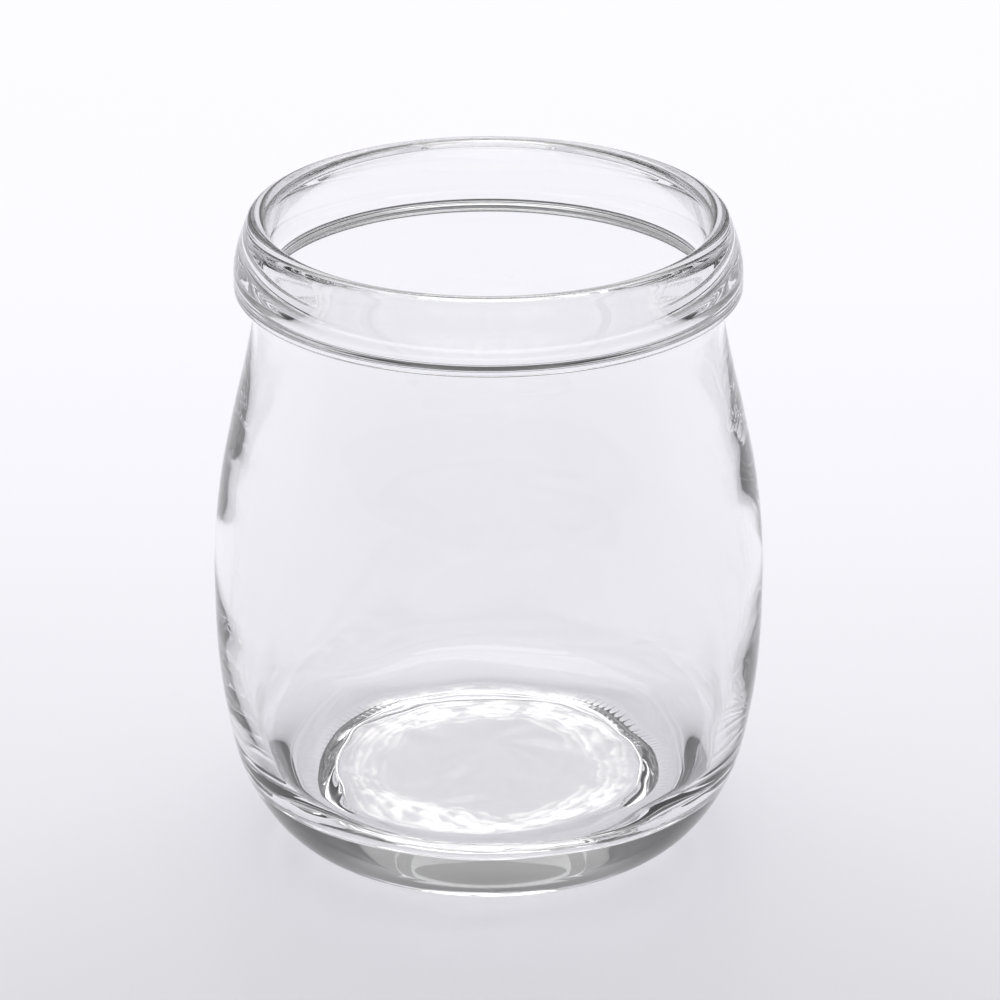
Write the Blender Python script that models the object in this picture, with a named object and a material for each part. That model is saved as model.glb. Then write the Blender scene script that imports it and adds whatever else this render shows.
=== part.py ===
# An empty preserving jar of clear glass, open at the top, in metres with +Z up.
# It is one turned solid that stands on z = 0, on a flat foot ring round the Z axis.
# An outline point is a radius and a height, and a curve's handles are offsets from its ends.
import math

import bpy
from mathutils import Vector
from mathutils.geometry import interpolate_bezier

SEGMENTS = 64

# Body
HEIGHT = 0.0860
BELLY_RADIUS = 0.0366
BELLY_HEIGHT = 0.0353
WALL = 0.0021

# Lip, a rounded edge that turns into the collar's flare, whose slope is in degrees off the vertical
LIP_RADIUS = 0.0301
LIP_HALF_WALL = 0.00145
LIP_FLARE = 20

# Collar, the thick band round the mouth, with drops measured down from the top of the lip.
# Below the band its corner turns by so many degrees into a nearly flat underside.
COLLAR_RADIUS = 0.03315
COLLAR_WIDEST_DROP = 0.0080
COLLAR_BAND = 0.0012
COLLAR_CORNER = (0.00158, 0.00070)
COLLAR_CORNER_TURN = 63

# Neck, the short groove under the collar, and the bore, which widens at its lower end by an undercut
GROOVE_RADIUS = 0.03044
GROOVE_DROP = 0.0105
NECK_RADIUS = 0.0306
NECK_DROP = 0.0132
BORE_RADIUS = 0.0281
BORE_DROP = 0.0090
UNDERCUT = (0.00094, 0.0010)

# Heel, the turn from the belly down to the foot
HEEL_RADIUS = 0.0345
HEEL_HEIGHT = 0.01205
HEEL_SLOPE = (0.0022, 0.0100)
FOOT_OUTER_RADIUS = 0.0252
FOOT_INNER_RADIUS = 0.0241

# Thick base, hollowed a little from below and slightly domed inside
PUNT_DEPTH = 0.0034
PUNT_EDGE = (0.0030, 0.0030)
FLOOR_CENTRE_HEIGHT = 0.0088
FLOOR_EDGE_RADIUS = 0.0215
FLOOR_EDGE_HEIGHT = 0.0080
INNER_HEEL_HEIGHT = 0.0150
INNER_HEEL_RADIUS = 0.0324

# Handles, how far a curve runs straight on from its ends, above and below a point or inwards and outwards
NECK_HANDLES = ((-0.0001, 0.0007), (0.0021, -0.0127))
BELLY_HANDLES = (0.0161, 0.0040)
HEEL_PULL = (1.1, 0.45)
FOOT_HANDLE = 0.00425
COLLAR_HANDLES = (0.0022, 0.0030)
UNDERSIDE_HANDLES = (0.0007, (0.0010, 0.0006))
GROOVE_HANDLE = 0.0004
FLOOR_HANDLES = (0.0090, 0.0060, 0.0065)
INNER_HEEL_PULL = (0.80, 0.65)
INNER_BELLY_HANDLES = (0.0160, 0.0050)
UNDERCUT_HANDLES = ((0.0008, -0.0080), (-0.00003, 0.00035), 0.00035)
BORE_HANDLES = (0.0020, 0.0030)
PUNT_EDGE_HANDLES = ((0.0006, -0.0010), (-0.0030, 0.0006))
PUNT_CENTRE_HANDLE = 0.0100
FOOT_ROUNDING = 0.0006

GLASS_COLOUR = (0.95, 0.97, 0.97, 1.0)
GLASS_ROUGHNESS = 0.02
GLASS_IOR = 1.52


def point(radius, height):
    return Vector((radius, 0.0, height))


def arc(centre, reach, start, end, steps):
    """Points of an elliptical arc, from one angle to the other in degrees, where 0 points outwards."""
    angles = [math.radians(start + (end - start) * i / steps) for i in range(steps + 1)]
    return [centre + point(reach[0] * math.cos(a), reach[1] * math.sin(a)) for a in angles]


def curve(start, start_handle, end_handle, end, steps):
    """Points of a cubic curve whose handles are given as offsets from its ends."""
    return interpolate_bezier(start, start + start_handle, end + end_handle, end, steps + 1)


def inner_outline():
    """From the middle of the floor out to the corner and up the inside to the mouth."""
    centre = point(0.0, FLOOR_CENTRE_HEIGHT)
    floor_edge = point(FLOOR_EDGE_RADIUS, FLOOR_EDGE_HEIGHT)
    heel = point(INNER_HEEL_RADIUS, INNER_HEEL_HEIGHT)
    belly = point(BELLY_RADIUS - WALL, BELLY_HEIGHT)
    bore = point(BORE_RADIUS, HEIGHT - BORE_DROP)
    undercut = bore + point(UNDERCUT[0], -UNDERCUT[1])
    lip = lip_outline()[0]
    up_the_heel = point(*HEEL_SLOPE)
    return [
        *curve(centre, point(FLOOR_HANDLES[0], 0.0), point(-FLOOR_HANDLES[1], 0.0), floor_edge, 5),
        *curve(floor_edge, point(FLOOR_HANDLES[2], 0.0), -INNER_HEEL_PULL[1] * up_the_heel, heel, 8),
        *curve(heel, INNER_HEEL_PULL[0] * up_the_heel, point(0.0, -INNER_BELLY_HANDLES[1]), belly, 5),
        *curve(belly, point(0.0, INNER_BELLY_HANDLES[0]), point(*UNDERCUT_HANDLES[0]), undercut, 7),
        *curve(undercut, point(*UNDERCUT_HANDLES[1]), point(0.0, -UNDERCUT_HANDLES[2]), bore, 3),
        *curve(bore, point(0.0, BORE_HANDLES[0]), point(0.0, -BORE_HANDLES[1]), lip, 2),
    ]


def lip_outline():
    """Over the rounded lip, from the bore to the outside."""
    centre = point(LIP_RADIUS, HEIGHT - LIP_HALF_WALL)
    return arc(centre, (LIP_HALF_WALL, LIP_HALF_WALL), 180, LIP_FLARE, 10)


def collar_outline():
    """Down the flared collar, round its underside and into the groove of the neck."""
    lip = lip_outline()[-1]
    down_the_flare = point(math.sin(math.radians(LIP_FLARE)), -math.cos(math.radians(LIP_FLARE)))
    widest = point(COLLAR_RADIUS, HEIGHT - COLLAR_WIDEST_DROP)
    band_end = widest - point(0.0, COLLAR_BAND)
    corner = arc(band_end - point(COLLAR_CORNER[0], 0.0), COLLAR_CORNER, 0, -COLLAR_CORNER_TURN, 4)
    along_the_underside = (corner[-1] - corner[-2]).normalized()
    groove = point(GROOVE_RADIUS, HEIGHT - GROOVE_DROP)
    neck = point(NECK_RADIUS, HEIGHT - NECK_DROP)
    return [
        *curve(lip, COLLAR_HANDLES[0] * down_the_flare, point(0.0, COLLAR_HANDLES[1]), widest, 4),
        *corner,
        *curve(corner[-1], UNDERSIDE_HANDLES[0] * along_the_underside, point(*UNDERSIDE_HANDLES[1]), groove, 3),
        *curve(groove, point(0.0, -GROOVE_HANDLE), point(*NECK_HANDLES[0]), neck, 2),
    ]


def body_outline():
    """Down the shoulder and the belly and round the heel to the foot ring."""
    neck = point(NECK_RADIUS, HEIGHT - NECK_DROP)
    belly = point(BELLY_RADIUS, BELLY_HEIGHT)
    heel = point(HEEL_RADIUS, HEEL_HEIGHT)
    foot = point(FOOT_OUTER_RADIUS, 0.0)
    up_the_heel = point(*HEEL_SLOPE)
    return [
        *curve(neck, point(*NECK_HANDLES[1]), point(0.0, BELLY_HANDLES[0]), belly, 9),
        *curve(belly, point(0.0, -BELLY_HANDLES[1]), HEEL_PULL[0] * up_the_heel, heel, 6),
        *curve(heel, -HEEL_PULL[1] * up_the_heel, point(FOOT_HANDLE, 0.0), foot, 8),
    ]


def base_outline():
    """Across the flat foot ring and up into the hollow under the base."""
    foot_inner = point(FOOT_INNER_RADIUS, 0.0)
    punt_edge = foot_inner + point(-PUNT_EDGE[0], PUNT_EDGE[1])
    punt_centre = point(0.0, PUNT_DEPTH)
    return [
        *curve(foot_inner, point(-FOOT_ROUNDING, 0.0), point(*PUNT_EDGE_HANDLES[0]), punt_edge, 3),
        *curve(punt_edge, point(*PUNT_EDGE_HANDLES[1]), point(PUNT_CENTRE_HANDLE, 0.0), punt_centre, 5),
    ]


def without_repeats(points):
    """The points with each one that repeats the point before it left out."""
    kept = points[:1]
    for this in points[1:]:
        if (this - kept[-1]).length > 1e-6:
            kept.append(this)
    return kept


def glass():
    material = bpy.data.materials.new("clear_glass")
    material.use_nodes = True
    shader = material.node_tree.nodes["Principled BSDF"]
    shader.inputs["Base Color"].default_value = GLASS_COLOUR
    shader.inputs["Roughness"].default_value = GLASS_ROUGHNESS
    shader.inputs["Metallic"].default_value = 0.0
    shader.inputs["IOR"].default_value = GLASS_IOR
    shader.inputs["Transmission Weight"].default_value = 1.0
    return material


def turned(name, outline):
    """An object whose outline a Screw modifier turns once round the Z axis."""
    mesh = bpy.data.meshes.new(name)
    mesh.from_pydata(outline, [(i, i + 1) for i in range(len(outline) - 1)], [])
    obj = bpy.data.objects.new(name, mesh)
    bpy.context.scene.collection.objects.link(obj)
    screw = obj.modifiers.new("turn", "SCREW")
    screw.axis = "Z"
    screw.steps = SEGMENTS
    screw.render_steps = SEGMENTS
    screw.use_merge_vertices = True
    screw.merge_threshold = 1e-6
    screw.use_smooth_shade = True
    return obj


def main():
    for obj in list(bpy.data.objects):
        bpy.data.objects.remove(obj)
    outline = inner_outline() + lip_outline() + collar_outline() + body_outline() + base_outline()
    jar = turned("jar", without_repeats(outline))
    jar.data.materials.append(glass())


main()
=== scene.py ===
import math

import bpy
import numpy as np
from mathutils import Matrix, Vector
from mathutils.geometry import interpolate_bezier


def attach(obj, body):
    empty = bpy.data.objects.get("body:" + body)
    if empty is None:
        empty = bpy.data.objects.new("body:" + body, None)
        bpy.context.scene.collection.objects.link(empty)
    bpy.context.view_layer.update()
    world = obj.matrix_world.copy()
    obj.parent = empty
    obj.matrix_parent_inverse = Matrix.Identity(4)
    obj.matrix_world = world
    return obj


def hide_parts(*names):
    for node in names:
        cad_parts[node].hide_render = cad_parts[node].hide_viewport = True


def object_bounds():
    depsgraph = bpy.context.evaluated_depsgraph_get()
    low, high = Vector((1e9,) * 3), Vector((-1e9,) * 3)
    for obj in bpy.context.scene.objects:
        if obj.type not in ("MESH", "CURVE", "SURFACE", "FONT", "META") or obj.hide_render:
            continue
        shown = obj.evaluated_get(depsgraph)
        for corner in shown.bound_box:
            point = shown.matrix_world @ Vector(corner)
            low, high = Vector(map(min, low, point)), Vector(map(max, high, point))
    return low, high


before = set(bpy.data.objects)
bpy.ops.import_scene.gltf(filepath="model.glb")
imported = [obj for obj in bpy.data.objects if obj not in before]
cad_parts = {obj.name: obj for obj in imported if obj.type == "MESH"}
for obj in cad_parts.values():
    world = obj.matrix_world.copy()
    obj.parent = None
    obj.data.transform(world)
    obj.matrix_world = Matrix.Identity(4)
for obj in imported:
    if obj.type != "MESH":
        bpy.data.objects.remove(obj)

CAD_BOX = [list(corner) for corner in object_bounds()]

# Body
HEIGHT = CAD_BOX[1][2]
BELLY_RADIUS = 0.0366
BELLY_HEIGHT = 0.0353
WALL = 0.0021

# Lip, a rounded edge that turns into the collar's flare, whose slope is in degrees off the vertical
LIP_RADIUS = 0.0301
LIP_HALF_WALL = 0.00145
LIP_FLARE = 20

# Collar, the thick band round the mouth, with drops measured down from the top of the lip.
# Below the band its corner turns by so many degrees into a nearly flat underside.
COLLAR_RADIUS = 0.03315
COLLAR_WIDEST_DROP = 0.0080
COLLAR_BAND = 0.0012
COLLAR_CORNER = (0.00158, 0.00070)
COLLAR_CORNER_TURN = 63

# Neck, the short groove under the collar, and the bore, which widens at its lower end by an undercut
GROOVE_RADIUS = 0.03044
GROOVE_DROP = 0.0105
NECK_RADIUS = 0.0306
NECK_DROP = 0.0132
BORE_RADIUS = 0.0281
BORE_DROP = 0.0090
UNDERCUT = (0.00094, 0.0010)

# Heel, the turn from the belly down to the foot
HEEL_RADIUS = 0.0345
HEEL_HEIGHT = 0.01205
HEEL_SLOPE = (0.0022, 0.0100)
FOOT_OUTER_RADIUS = 0.0252
FOOT_INNER_RADIUS = 0.0241

# Thick base, hollowed a little from below and slightly domed inside
PUNT_DEPTH = 0.0034
PUNT_EDGE = (0.0030, 0.0030)
FLOOR_CENTRE_HEIGHT = 0.0088
FLOOR_EDGE_RADIUS = 0.0215
FLOOR_EDGE_HEIGHT = 0.0080
INNER_HEEL_HEIGHT = 0.0150
INNER_HEEL_RADIUS = 0.0324

# Handles, how far a curve runs straight on from its ends, above and below a point or inwards and outwards
NECK_HANDLES = ((-0.0001, 0.0007), (0.0021, -0.0127))
BELLY_HANDLES = (0.0161, 0.0040)
HEEL_PULL = (1.1, 0.45)
FOOT_HANDLE = 0.00425
COLLAR_HANDLES = (0.0022, 0.0030)
UNDERSIDE_HANDLES = (0.0007, (0.0010, 0.0006))
GROOVE_HANDLE = 0.0004
FLOOR_HANDLES = (0.0090, 0.0060, 0.0065)
INNER_HEEL_PULL = (0.80, 0.65)
INNER_BELLY_HANDLES = (0.0160, 0.0050)
UNDERCUT_HANDLES = ((0.0008, -0.0080), (-0.00003, 0.00035), 0.00035)
BORE_HANDLES = (0.0020, 0.0030)
PUNT_EDGE_HANDLES = ((0.0006, -0.0010), (-0.0030, 0.0006))
PUNT_CENTRE_HANDLE = 0.0100
FOOT_ROUNDING = 0.0006

# Fineness of the turned mesh: its segments, the steps of each curve in the outline's order,
# and the distance within which two points count as one
SEGMENTS = 420
INNER_STEPS = (14, 26, 10, 18, 10, 8)
LIP_STEPS = 20
COLLAR_STEPS = (14, 14, 10, 6)
BODY_STEPS = (18, 12, 28)
BASE_STEPS = (10, 12)
SAME_POINT = 1e-6

# Unevenness of moulded glass: how far the surfaces stray, the waves' turns round the jar and lengths along
# the outline, the heights where the strong ones fade out, and the radius within which they calm down
FLOOR_WAVE = 0.00013
WALL_WAVE = 0.00003
OUTER_WAVE = 0.000015
WAVE_COUNT = 9
WAVE_TURNS = (2, 9)
WAVE_LENGTHS = (0.007, 0.030)
WAVE_SEED = 11
WAVE_FADE = (0.010, 0.022)
CALM_RADIUS = 0.016

# Ragged edge of the hollow under the base, with waves of so many turns
RAGGED_WAVE = 0.00010
RAGGED_TURNS = (7, 23)
RAGGED_RADII = (0.0195, 0.0240)

# Glass, nearly clear
GLASS_COLOUR = (0.974, 0.974, 0.978, 1.0)
GLASS_IOR = 1.52

# Foot ring's knurl, short radial ticks that keep the jar from sliding, up to a small height
TICKS = 140
TICK_DEPTH = 0.00012
TICK_RADII = (0.0240, 0.0262)
TICK_HEIGHT = 0.00096

# Floor, a table that glows in place of studio light, with its grey levels from front to back: painted shade
# that darkens its glow towards the camera
FLOOR_HALF_SIDE = 2.5
FLOOR_GAP = 0.00005
FLOOR_FRONT = -0.6
FLOOR_BACK = 0.4
FLOOR_SHADE = [(0.0, 0.30), (0.4, 0.48), (0.55, 0.665), (0.60, 0.78),
               (0.70, 0.91), (0.80, 0.97), (1.0, 1.0)]
FLOOR_TINT = (0.945, 0.935, 1.0, 1.0)
FLOOR_GLOW = 0.815
FLOOR_GREY = 0.4
FLOOR_ROUGHNESS = 0.25

# Light that the thick base gathers on the table under it, painted into the table's glow: rings round a plain
# middle, brightest in front and behind, with levels by the share of their reach, ripples that a noise bends,
# and patches
GATHERED_CENTRE = (0.0, 0.0045, 0.0)
GATHERED_REACH = 0.030
GATHERED_BY_RADIUS = [(0.0, 0.0), (0.36, 0.05), (0.46, 0.45), (0.52, 0.88),
                      (0.62, 1.0), (0.68, 0.45), (0.76, 0.0)]
GATHERED_IN_THE_MIDDLE = 0.10
GATHERED_MIDDLE_EDGE = (0.0140, 0.0225)
GATHERED_BY_DEPTH = (0.004, 0.012)
GATHERED_AT_THE_SIDES = 0.35
GATHERED_RIPPLE = 0.0013
GATHERED_WOBBLE = 0.0030
GATHERED_BY_RIPPLE = (0.45, 1.0)
GATHERED_NOISE_SCALE = 340.0
GATHERED_NOISE_RANGE = (0.40, 0.60)
GATHERED_BY_NOISE = (0.3, 1.0)
GATHERED_LIGHT = (2.25, 2.22, 2.14, 1.0)

# Studio, with grey levels by how far a direction points up, for the front and the back, the back's share
# from the camera's side to the far side, and what is left of them out to the sides
SKY_STRENGTH = 1.0
FRONT_BY_HEIGHT = [(0.0, 0.08), (0.30, 0.08), (0.60, 0.10), (1.0, 0.10)]
BACK_BY_HEIGHT = [(0.0, 0.10), (0.35, 0.10), (0.55, 0.40), (0.75, 0.60), (1.0, 0.60)]
FRONT_TO_BACK = [(0.0, 0.0), (0.40, 0.0), (0.60, 1.0), (1.0, 1.0)]
SKY_BY_SIDE = [(0.0, 1.0), (0.35, 1.0), (0.62, 0.22), (0.85, 0.08), (1.0, 0.05)]
LIGHT_SIZE = (1.3, 1.3)
LIGHT_PLACE = (0.0, 0.3, 1.3)
LIGHT_TARGET = (0.0, 0.0, 0.0)
LIGHT_POWER = 9.0

# How often a ray of light may bend and bounce in the glass
BOUNCES = 48

# Camera, as the photograph was taken, with its lens and sensor in millimetres
CAMERA_BACK = 0.55735
CAMERA_SIDE = 0.0015
CAMERA_HEIGHT = 0.28908
CAMERA_PITCH = math.radians(23.607)
CAMERA_LENS = 164.80
SENSOR = 36.0


def point(radius, height):
    return Vector((radius, 0.0, height))


def arc(centre, reach, start, end, steps):
    """Points of an elliptical arc, from one angle to the other in degrees, where 0 points outwards."""
    angles = [math.radians(start + (end - start) * i / steps) for i in range(steps + 1)]
    return [centre + point(reach[0] * math.cos(a), reach[1] * math.sin(a)) for a in angles]


def curve(start, start_handle, end_handle, end, steps):
    """Points of a cubic curve whose handles are given as offsets from its ends."""
    return interpolate_bezier(start, start + start_handle, end + end_handle, end, steps + 1)


def inner_outline():
    """From the middle of the floor out to the corner and up the inside to the mouth."""
    centre = point(0.0, FLOOR_CENTRE_HEIGHT)
    floor_edge = point(FLOOR_EDGE_RADIUS, FLOOR_EDGE_HEIGHT)
    heel = point(INNER_HEEL_RADIUS, INNER_HEEL_HEIGHT)
    belly = point(BELLY_RADIUS - WALL, BELLY_HEIGHT)
    bore = point(BORE_RADIUS, HEIGHT - BORE_DROP)
    undercut = bore + point(UNDERCUT[0], -UNDERCUT[1])
    lip = lip_outline()[0]
    up_the_heel = point(*HEEL_SLOPE)
    steps = INNER_STEPS
    return [
        *curve(centre, point(FLOOR_HANDLES[0], 0.0), point(-FLOOR_HANDLES[1], 0.0), floor_edge, steps[0]),
        *curve(floor_edge, point(FLOOR_HANDLES[2], 0.0), -INNER_HEEL_PULL[1] * up_the_heel, heel, steps[1]),
        *curve(heel, INNER_HEEL_PULL[0] * up_the_heel, point(0.0, -INNER_BELLY_HANDLES[1]), belly, steps[2]),
        *curve(belly, point(0.0, INNER_BELLY_HANDLES[0]), point(*UNDERCUT_HANDLES[0]), undercut, steps[3]),
        *curve(undercut, point(*UNDERCUT_HANDLES[1]), point(0.0, -UNDERCUT_HANDLES[2]), bore, steps[4]),
        *curve(bore, point(0.0, BORE_HANDLES[0]), point(0.0, -BORE_HANDLES[1]), lip, steps[5]),
    ]


def lip_outline():
    """Over the rounded lip, from the bore to the outside."""
    centre = point(LIP_RADIUS, HEIGHT - LIP_HALF_WALL)
    return arc(centre, (LIP_HALF_WALL, LIP_HALF_WALL), 180, LIP_FLARE, LIP_STEPS)


def collar_outline():
    """Down the flared collar, round its underside and into the groove of the neck."""
    lip = lip_outline()[-1]
    down_the_flare = point(math.sin(math.radians(LIP_FLARE)), -math.cos(math.radians(LIP_FLARE)))
    widest = point(COLLAR_RADIUS, HEIGHT - COLLAR_WIDEST_DROP)
    band_end = widest - point(0.0, COLLAR_BAND)
    steps = COLLAR_STEPS
    corner = arc(band_end - point(COLLAR_CORNER[0], 0.0), COLLAR_CORNER, 0, -COLLAR_CORNER_TURN, steps[1])
    inwards = UNDERSIDE_HANDLES[0] * (corner[-1] - corner[-2]).normalized()
    groove = point(GROOVE_RADIUS, HEIGHT - GROOVE_DROP)
    neck = point(NECK_RADIUS, HEIGHT - NECK_DROP)
    return [
        *curve(lip, COLLAR_HANDLES[0] * down_the_flare, point(0.0, COLLAR_HANDLES[1]), widest, steps[0]),
        *corner,
        *curve(corner[-1], inwards, point(*UNDERSIDE_HANDLES[1]), groove, steps[2]),
        *curve(groove, point(0.0, -GROOVE_HANDLE), point(*NECK_HANDLES[0]), neck, steps[3]),
    ]


def body_outline():
    """Down the shoulder and the belly and round the heel to the foot ring."""
    neck = point(NECK_RADIUS, HEIGHT - NECK_DROP)
    belly = point(BELLY_RADIUS, BELLY_HEIGHT)
    heel = point(HEEL_RADIUS, HEEL_HEIGHT)
    foot = point(FOOT_OUTER_RADIUS, 0.0)
    up_the_heel = point(*HEEL_SLOPE)
    return [
        *curve(neck, point(*NECK_HANDLES[1]), point(0.0, BELLY_HANDLES[0]), belly, BODY_STEPS[0]),
        *curve(belly, point(0.0, -BELLY_HANDLES[1]), HEEL_PULL[0] * up_the_heel, heel, BODY_STEPS[1]),
        *curve(heel, -HEEL_PULL[1] * up_the_heel, point(FOOT_HANDLE, 0.0), foot, BODY_STEPS[2]),
    ]


def base_outline():
    """Across the flat foot ring and up into the hollow under the base."""
    foot = point(FOOT_INNER_RADIUS, 0.0)
    edge = foot + point(-PUNT_EDGE[0], PUNT_EDGE[1])
    centre = point(0.0, PUNT_DEPTH)
    return [
        *curve(foot, point(-FOOT_ROUNDING, 0.0), point(*PUNT_EDGE_HANDLES[0]), edge, BASE_STEPS[0]),
        *curve(edge, point(*PUNT_EDGE_HANDLES[1]), point(PUNT_CENTRE_HANDLE, 0.0), centre, BASE_STEPS[1]),
    ]


def without_repeats(points):
    """The points with each one that repeats the point before it left out."""
    kept = points[:1]
    for this in points[1:]:
        if (this - kept[-1]).length > SAME_POINT:
            kept.append(this)
    return kept


def waves(along, angle, turn_range):
    """Slow unevenness, mostly between -1 and 1, by the length along the outline and the angle round it."""
    draw = np.random.default_rng(WAVE_SEED)
    total = np.zeros((len(along), len(angle)))
    for _ in range(WAVE_COUNT):
        turns = draw.integers(*turn_range)
        length = draw.uniform(*WAVE_LENGTHS)
        phase = draw.uniform(0.0, 2 * math.pi)
        total += np.sin(turns * angle[None, :] + 2 * math.pi * along[:, None] / length + phase)
    return total / math.sqrt(WAVE_COUNT)


def fade(value, start, end):
    """0 up to the start, 1 from the end on, and smooth in between."""
    share = np.clip((value - start) / (end - start), 0.0, 1.0)
    return share * share * (3 - 2 * share)


def hump(value, start, end):
    """0 at the start and the end, and 1 halfway."""
    middle = (start + end) / 2
    return fade(value, start, middle) * (1 - fade(value, middle, end))


def across_the_ring(radius):
    """1 along the middle half of the knurl's ticks, and 0 past their ends."""
    middle = (TICK_RADII[0] + TICK_RADII[1]) / 2
    half_length = TICK_RADII[1] - middle
    return 1 - fade(abs(radius - middle), half_length / 2, half_length)


def strays(line, inner_count, angle):
    """How far each point of the turned surface lies off the true outline, along its normal."""
    radius, height = line[:, 0], line[:, 1]
    along = np.concatenate([[0.0], np.cumsum(np.hypot(*np.diff(line, axis=0).T))])
    inside = np.arange(len(line)) < inner_count
    below_the_neck = 1 - fade(height, HEIGHT - 2 * NECK_DROP, HEIGHT - NECK_DROP)
    inner = FLOOR_WAVE + (WALL_WAVE - FLOOR_WAVE) * fade(height, *WAVE_FADE)
    outer = OUTER_WAVE * fade(height, 0.0, WAVE_FADE[0])
    size = np.where(inside, inner, outer) * below_the_neck * fade(radius, 0.0, CALM_RADIUS)
    ragged = RAGGED_WAVE * hump(radius, *RAGGED_RADII) * (~inside & (height < PUNT_DEPTH))
    ticks = across_the_ring(radius) * (~inside & (height < TICK_HEIGHT))
    knurl = TICK_DEPTH * (0.5 - 0.5 * np.sin(TICKS * angle))
    slow = size[:, None] * waves(along, angle, WAVE_TURNS)
    fast = ragged[:, None] * waves(along, angle, RAGGED_TURNS)
    return slow + fast - ticks[:, None] * knurl[None, :]


def jar_mesh():
    """The turned glass: a closed surface with one vertex at each end of the outline, on the axis."""
    inner = without_repeats(inner_outline())
    outline = without_repeats(inner + lip_outline() + collar_outline() + body_outline() + base_outline())
    line = np.array([(p.x, p.z) for p in outline])
    angle = np.arange(SEGMENTS) * 2 * math.pi / SEGMENTS
    slope = np.gradient(line, axis=0)
    normal = np.column_stack([-slope[:, 1], slope[:, 0]])
    normal /= np.linalg.norm(normal, axis=1)[:, None]
    stray = strays(line, len(inner), angle)[1:-1]
    radius = line[1:-1, 0, None] + normal[1:-1, 0, None] * stray
    rings = np.stack([
        radius * np.cos(angle),
        radius * np.sin(angle),
        line[1:-1, 1, None] + normal[1:-1, 1, None] * stray,
    ], axis=2)
    points = [(0.0, 0.0, line[0][1]), (0.0, 0.0, line[-1][1]), *map(tuple, rings.reshape(-1, 3))]
    start = 2
    last = start + (len(rings) - 1) * SEGMENTS
    faces = []
    for j in range(SEGMENTS):
        k = (j + 1) % SEGMENTS
        faces.append((0, start + j, start + k))
        faces.append((1, last + k, last + j))
        for i in range(len(rings) - 1):
            row = start + i * SEGMENTS
            faces.append((row + j, row + SEGMENTS + j, row + SEGMENTS + k, row + k))
    mesh = bpy.data.meshes.new("jar_glass")
    mesh.from_pydata(points, [], faces)
    mesh.shade_smooth()
    return mesh


def glass():
    material = bpy.data.materials.new("clear_glass")
    material.use_nodes = True
    shader = material.node_tree.nodes["Principled BSDF"]
    shader.inputs["Base Color"].default_value = GLASS_COLOUR
    shader.inputs["Roughness"].default_value = 0.0
    shader.inputs["IOR"].default_value = GLASS_IOR
    shader.inputs["Transmission Weight"].default_value = 1.0
    return material


def make_jar():
    jar = bpy.data.objects.new("jar_glass", jar_mesh())
    bpy.context.scene.collection.objects.link(jar)
    jar.data.materials.append(glass())
    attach(jar, "root")
    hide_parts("jar")


def ramp(nodes, stops, smooth=True):
    """A colour ramp of grey levels, from a list of places and levels."""
    node = nodes.new("ShaderNodeValToRGB")
    node.color_ramp.interpolation = "EASE" if smooth else "LINEAR"
    elements = node.color_ramp.elements
    while len(elements) < len(stops):
        elements.new(0.5)
    for element, (place, level) in zip(elements, stops):
        element.position = place
        element.color = (level, level, level, 1.0)
    return node


def feed(links, socket, value):
    """Give a socket a plain value, or link it to another node's output."""
    if isinstance(value, bpy.types.NodeSocket):
        links.new(value, socket)
    else:
        socket.default_value = value


def mixed(nodes, links, blend, factor, first, second):
    """The output of a colour mix, whose factor and colours are values or other nodes' outputs."""
    node = nodes.new("ShaderNodeMix")
    node.data_type = "RGBA"
    node.blend_type = blend
    # The node has sockets A, B and Result for every kind of value, and those of colours are these
    colour_a, colour_b, colour_result = node.inputs[6], node.inputs[7], node.outputs[2]
    feed(links, node.inputs["Factor"], factor)
    feed(links, colour_a, first)
    feed(links, colour_b, second)
    return colour_result


def maths(nodes, links, operation, *values):
    """The output of a maths node, whose inputs are values or other nodes' outputs."""
    node = nodes.new("ShaderNodeMath")
    node.operation = operation
    for socket, value in zip(node.inputs, values):
        feed(links, socket, value)
    return node.outputs[0]


def map_range(nodes, links, value, source, target=(0.0, 1.0)):
    """The output of a clamped map from one range to another."""
    node = nodes.new("ShaderNodeMapRange")
    node.inputs["From Min"].default_value, node.inputs["From Max"].default_value = source
    node.inputs["To Min"].default_value, node.inputs["To Max"].default_value = target
    links.new(value, node.inputs["Value"])
    return node.outputs["Result"]


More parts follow.
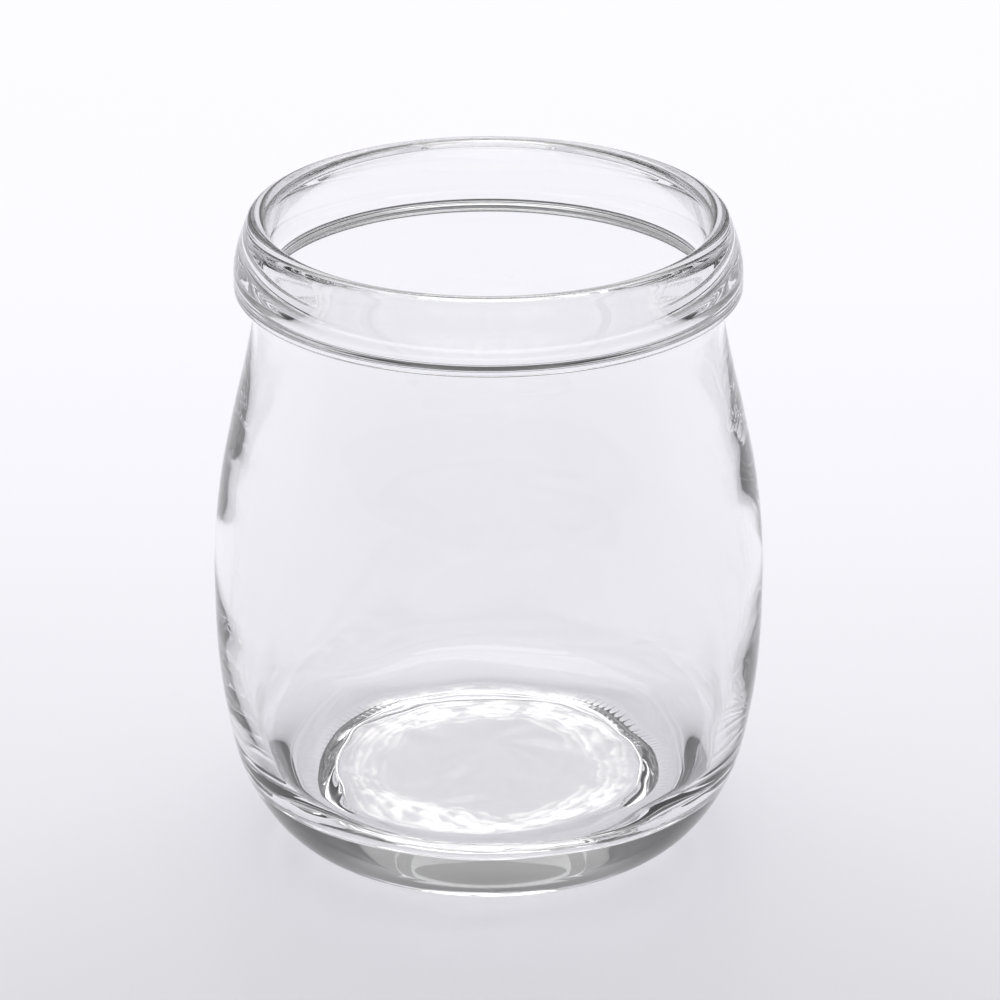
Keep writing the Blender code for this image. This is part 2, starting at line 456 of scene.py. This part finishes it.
def gathered_light(nodes, links, place, depth):
    """How much painted light from the base the table glows with, by the place under it."""
    distance = nodes.new("ShaderNodeVectorMath")
    distance.operation = "DISTANCE"
    links.new(place, distance.inputs[0])
    distance.inputs[1].default_value = GATHERED_CENTRE
    radius = distance.outputs["Value"]
    rings = ramp(nodes, GATHERED_BY_RADIUS)
    links.new(map_range(nodes, links, radius, (0.0, GATHERED_REACH)), rings.inputs[0])
    off_centre = maths(nodes, links, "ABSOLUTE", maths(nodes, links, "SUBTRACT", depth, GATHERED_CENTRE[1]))
    by_depth = map_range(nodes, links, off_centre, GATHERED_BY_DEPTH, (GATHERED_AT_THE_SIDES, 1.0))
    noise = nodes.new("ShaderNodeTexNoise")
    noise.inputs["Scale"].default_value = GATHERED_NOISE_SCALE
    links.new(place, noise.inputs["Vector"])
    wobble = maths(nodes, links, "MULTIPLY", noise.outputs["Fac"], GATHERED_WOBBLE)
    wobbly_radius = maths(nodes, links, "ADD", radius, wobble)
    phase = maths(nodes, links, "MULTIPLY", wobbly_radius, 2 * math.pi / GATHERED_RIPPLE)
    ripples = map_range(nodes, links, maths(nodes, links, "SINE", phase), (-1.0, 1.0), GATHERED_BY_RIPPLE)
    patches = map_range(nodes, links, noise.outputs["Fac"], GATHERED_NOISE_RANGE, GATHERED_BY_NOISE)
    light = rings.outputs["Color"]
    for share in (by_depth, ripples, patches):
        light = maths(nodes, links, "MULTIPLY", light, share)
    middle = map_range(nodes, links, radius, GATHERED_MIDDLE_EDGE, (GATHERED_IN_THE_MIDDLE, 0.0))
    return maths(nodes, links, "MAXIMUM", light, middle)


def make_floor():
    """A plain pale table that glows, with painted shade that leaves it brighter behind the jar, and painted
    light that the base gathers under it.
    """
    mesh = bpy.data.meshes.new("floor")
    side, low = FLOOR_HALF_SIDE, -FLOOR_GAP
    corners = [(-side, -side, low), (side, -side, low), (side, side, low), (-side, side, low)]
    mesh.from_pydata(corners, [], [(0, 1, 2, 3)])
    floor = bpy.data.objects.new("floor", mesh)
    bpy.context.scene.collection.objects.link(floor)
    material = bpy.data.materials.new("floor")
    material.use_nodes = True
    nodes, links = material.node_tree.nodes, material.node_tree.links
    shader = nodes["Principled BSDF"]
    place = nodes.new("ShaderNodeTexCoord")
    split = nodes.new("ShaderNodeSeparateXYZ")
    links.new(place.outputs["Object"], split.inputs[0])
    # Painted shade: the table's glow is darker towards the front, as if lit from behind
    shade = ramp(nodes, FLOOR_SHADE, smooth=False)
    links.new(map_range(nodes, links, split.outputs["Y"], (FLOOR_FRONT, FLOOR_BACK)), shade.inputs[0])
    glow = mixed(nodes, links, "MULTIPLY", 1.0, shade.outputs["Color"], FLOOR_TINT)
    gathered = gathered_light(nodes, links, place.outputs["Object"], split.outputs["Y"])
    # Painted pool of light from the base, mixed into the table's glow
    links.new(mixed(nodes, links, "MIX", gathered, glow, GATHERED_LIGHT), shader.inputs["Emission Color"])
    shader.inputs["Emission Strength"].default_value = FLOOR_GLOW
    shader.inputs["Base Color"].default_value = (FLOOR_GREY, FLOOR_GREY, FLOOR_GREY, 1.0)
    shader.inputs["Roughness"].default_value = FLOOR_ROUGHNESS
    mesh.materials.append(material)


def make_world():
    """A studio that is dark low down, at its sides and towards the camera, and lighter high up behind."""
    world = bpy.data.worlds.new("studio")
    bpy.context.scene.world = world
    world.use_nodes = True
    nodes, links = world.node_tree.nodes, world.node_tree.links
    background = nodes["Background"]
    direction = nodes.new("ShaderNodeTexCoord")
    split = nodes.new("ShaderNodeSeparateXYZ")
    links.new(direction.outputs["Generated"], split.inputs[0])
    front = ramp(nodes, FRONT_BY_HEIGHT)
    back = ramp(nodes, BACK_BY_HEIGHT)
    links.new(split.outputs["Z"], front.inputs[0])
    links.new(split.outputs["Z"], back.inputs[0])
    share = ramp(nodes, FRONT_TO_BACK)
    links.new(map_range(nodes, links, split.outputs["Y"], (-1.0, 1.0)), share.inputs[0])
    room = mixed(nodes, links, "MIX", share.outputs["Color"], front.outputs["Color"], back.outputs["Color"])
    side = ramp(nodes, SKY_BY_SIDE)
    links.new(maths(nodes, links, "ABSOLUTE", split.outputs["X"]), side.inputs[0])
    links.new(mixed(nodes, links, "MULTIPLY", 1.0, room, side.outputs["Color"]), background.inputs["Color"])
    background.inputs["Strength"].default_value = SKY_STRENGTH


def make_light():
    """One large soft light, high behind the jar."""
    data = bpy.data.lights.new("soft_light", "AREA")
    data.shape = "RECTANGLE"
    data.size, data.size_y = LIGHT_SIZE
    data.energy = LIGHT_POWER
    light = bpy.data.objects.new("soft_light", data)
    light.location = LIGHT_PLACE
    aim = Vector(LIGHT_TARGET) - Vector(LIGHT_PLACE)
    light.rotation_euler = aim.to_track_quat("-Z", "Y").to_euler()
    bpy.context.scene.collection.objects.link(light)


def make_camera():
    data = bpy.data.cameras.new("camera")
    data.lens = CAMERA_LENS
    data.sensor_width = SENSOR
    camera = bpy.data.objects.new("camera", data)
    camera.location = (CAMERA_SIDE, -CAMERA_BACK, CAMERA_HEIGHT)
    camera.rotation_euler = (math.pi / 2 - CAMERA_PITCH, 0.0, 0.0)
    bpy.context.scene.collection.objects.link(camera)
    bpy.context.scene.camera = camera


def main():
    make_camera()
    make_jar()
    make_floor()
    make_world()
    make_light()
    scene = bpy.context.scene
    scene.view_settings.view_transform = "Standard"
    scene.cycles.max_bounces = BOUNCES
    scene.cycles.transmission_bounces = BOUNCES
    scene.cycles.glossy_bounces = BOUNCES


main()
